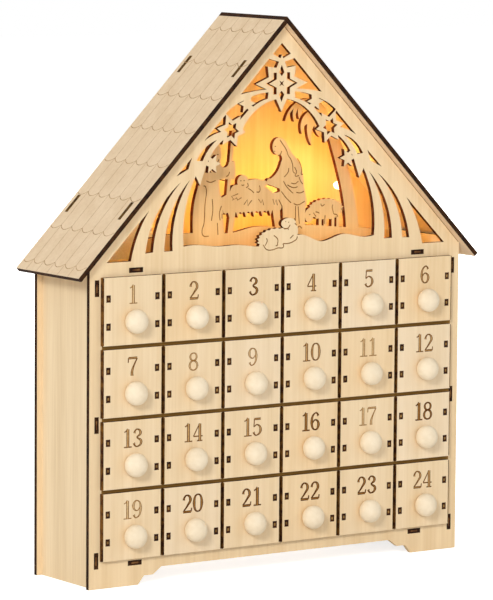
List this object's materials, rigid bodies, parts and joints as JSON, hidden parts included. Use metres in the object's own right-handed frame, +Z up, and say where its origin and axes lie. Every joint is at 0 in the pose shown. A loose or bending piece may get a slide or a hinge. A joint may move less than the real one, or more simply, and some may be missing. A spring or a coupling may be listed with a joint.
{
  "type": "advent calendar",
  "caption": "Wooden gabled-house advent calendar of slotted plywood with sliding knobbed drawers, scalloped roof and a warmly lit nativity scene behind gable tracery",
  "frame": {"origin": "on the table under the middle of the whole calendar's box, knobs and roof included", "axes": "+X to the right seen from the front, +Y to the back (the drawers open towards -Y), +Z up"},
  "size_m": [0.3046, 0.0804, 0.3474],
  "materials": {
    "birch_ply": "bare birch plywood, burnt edges",
    "roof_ply": "bare birch plywood, engraved",
    "drawer_ply": "bare birch plywood, engraved",
    "scene_ply": "bare birch plywood, engraved",
    "knob_wood": "turned pale hardwood, sanded",
    "lamp_lens": "warm lit lens",
    "box_plastic": "matte ivory white",
    "switch_plastic": "matte black"
  },
  "bodies": {
    "case": {"front_panel": "birch_ply", "back_panel": "birch_ply", "left_wall": "birch_ply", "right_wall": "birch_ply", "shelf_boards": "birch_ply", "divider_boards": "birch_ply", "roof_left": "roof_ply", "roof_right": "roof_ply", "scene_panel": "scene_ply", "lamps": "lamp_lens", "battery_box": "box_plastic"},
    "switch": {"switch_slider": "switch_plastic"},
    "drawer_01_body": {"drawer_01": "drawer_ply", "knob_01": "knob_wood"},
    "drawer_02_body": {"drawer_02": "drawer_ply", "knob_02": "knob_wood"},
    "drawer_03_body": {"drawer_03": "drawer_ply", "knob_03": "knob_wood"},
    "drawer_04_body": {"drawer_04": "drawer_ply", "knob_04": "knob_wood"},
    "drawer_05_body": {"drawer_05": "drawer_ply", "knob_05": "knob_wood"},
    "drawer_06_body": {"drawer_06": "drawer_ply", "knob_06": "knob_wood"},
    "drawer_07_body": {"drawer_07": "drawer_ply", "knob_07": "knob_wood"},
    "drawer_08_body": {"drawer_08": "drawer_ply", "knob_08": "knob_wood"},
    "drawer_09_body": {"drawer_09": "drawer_ply", "knob_09": "knob_wood"},
    "drawer_10_body": {"drawer_10": "drawer_ply", "knob_10": "knob_wood"},
    "drawer_11_body": {"drawer_11": "drawer_ply", "knob_11": "knob_wood"},
    "drawer_12_body": {"drawer_12": "drawer_ply", "knob_12": "knob_wood"},
    "drawer_13_body": {"drawer_13": "drawer_ply", "knob_13": "knob_wood"},
    "drawer_14_body": {"drawer_14": "drawer_ply", "knob_14": "knob_wood"},
    "drawer_15_body": {"drawer_15": "drawer_ply", "knob_15": "knob_wood"},
    "drawer_16_body": {"drawer_16": "drawer_ply", "knob_16": "knob_wood"},
    "drawer_17_body": {"drawer_17": "drawer_ply", "knob_17": "knob_wood"},
    "drawer_18_body": {"drawer_18": "drawer_ply", "knob_18": "knob_wood"},
    "drawer_19_body": {"drawer_19": "drawer_ply", "knob_19": "knob_wood"},
    "drawer_20_body": {"drawer_20": "drawer_ply", "knob_20": "knob_wood"},
    "drawer_21_body": {"drawer_21": "drawer_ply", "knob_21": "knob_wood"},
    "drawer_22_body": {"drawer_22": "drawer_ply", "knob_22": "knob_wood"},
    "drawer_23_body": {"drawer_23": "drawer_ply", "knob_23": "knob_wood"},
    "drawer_24_body": {"drawer_24": "drawer_ply", "knob_24": "knob_wood"}
  },
  "joints": [
    {"name": "switch_slide", "type": "slide", "parent": "case", "child": "switch", "axis": [1, 0, 0], "range_m": [0, 0.0035]},
    {"name": "drawer_01_slide", "type": "slide", "parent": "case", "child": "drawer_01_body", "axis": [0, -1, 0], "range_m": [0, 0.045]},
    {"name": "drawer_02_slide", "type": "slide", "parent": "case", "child": "drawer_02_body", "axis": [0, -1, 0], "range_m": [0, 0.045]},
    {"name": "drawer_03_slide", "type": "slide", "parent": "case", "child": "drawer_03_body", "axis": [0, -1, 0], "range_m": [0, 0.045]},
    {"name": "drawer_04_slide", "type": "slide", "parent": "case", "child": "drawer_04_body", "axis": [0, -1, 0], "range_m": [0, 0.045]},
    {"name": "drawer_05_slide", "type": "slide", "parent": "case", "child": "drawer_05_body", "axis": [0, -1, 0], "range_m": [0, 0.045]},
    {"name": "drawer_06_slide", "type": "slide", "parent": "case", "child": "drawer_06_body", "axis": [0, -1, 0], "range_m": [0, 0.045]},
    {"name": "drawer_07_slide", "type": "slide", "parent": "case", "child": "drawer_07_body", "axis": [0, -1, 0], "range_m": [0, 0.045]},
    {"name": "drawer_08_slide", "type": "slide", "parent": "case", "child": "drawer_08_body", "axis": [0, -1, 0], "range_m": [0, 0.045]},
    {"name": "drawer_09_slide", "type": "slide", "parent": "case", "child": "drawer_09_body", "axis": [0, -1, 0], "range_m": [0, 0.045]},
    {"name": "drawer_10_slide", "type": "slide", "parent": "case", "child": "drawer_10_body", "axis": [0, -1, 0], "range_m": [0, 0.045]},
    {"name": "drawer_11_slide", "type": "slide", "parent": "case", "child": "drawer_11_body", "axis": [0, -1, 0], "range_m": [0, 0.045]},
    {"name": "drawer_12_slide", "type": "slide", "parent": "case", "child": "drawer_12_body", "axis": [0, -1, 0], "range_m": [0, 0.045]},
    {"name": "drawer_13_slide", "type": "slide", "parent": "case", "child": "drawer_13_body", "axis": [0, -1, 0], "range_m": [0, 0.045]},
    {"name": "drawer_14_slide", "type": "slide", "parent": "case", "child": "drawer_14_body", "axis": [0, -1, 0], "range_m": [0, 0.045]},
    {"name": "drawer_15_slide", "type": "slide", "parent": "case", "child": "drawer_15_body", "axis": [0, -1, 0], "range_m": [0, 0.045]},
    {"name": "drawer_16_slide", "type": "slide", "parent": "case", "child": "drawer_16_body", "axis": [0, -1, 0], "range_m": [0, 0.045]},
    {"name": "drawer_17_slide", "type": "slide", "parent": "case", "child": "drawer_17_body", "axis": [0, -1, 0], "range_m": [0, 0.045]},
    {"name": "drawer_18_slide", "type": "slide", "parent": "case", "child": "drawer_18_body", "axis": [0, -1, 0], "range_m": [0, 0.045]},
    {"name": "drawer_19_slide", "type": "slide", "parent": "case", "child": "drawer_19_body", "axis": [0, -1, 0], "range_m": [0, 0.045]},
    {"name": "drawer_20_slide", "type": "slide", "parent": "case", "child": "drawer_20_body", "axis": [0, -1, 0], "range_m": [0, 0.045]},
    {"name": "drawer_21_slide", "type": "slide", "parent": "case", "child": "drawer_21_body", "axis": [0, -1, 0], "range_m": [0, 0.045]},
    {"name": "drawer_22_slide", "type": "slide", "parent": "case", "child": "drawer_22_body", "axis": [0, -1, 0], "range_m": [0, 0.045]},
    {"name": "drawer_23_slide", "type": "slide", "parent": "case", "child": "drawer_23_body", "axis": [0, -1, 0], "range_m": [0, 0.045]},
    {"name": "drawer_24_slide", "type": "slide", "parent": "case", "child": "drawer_24_body", "axis": [0, -1, 0], "range_m": [0, 0.045]}
  ]
}
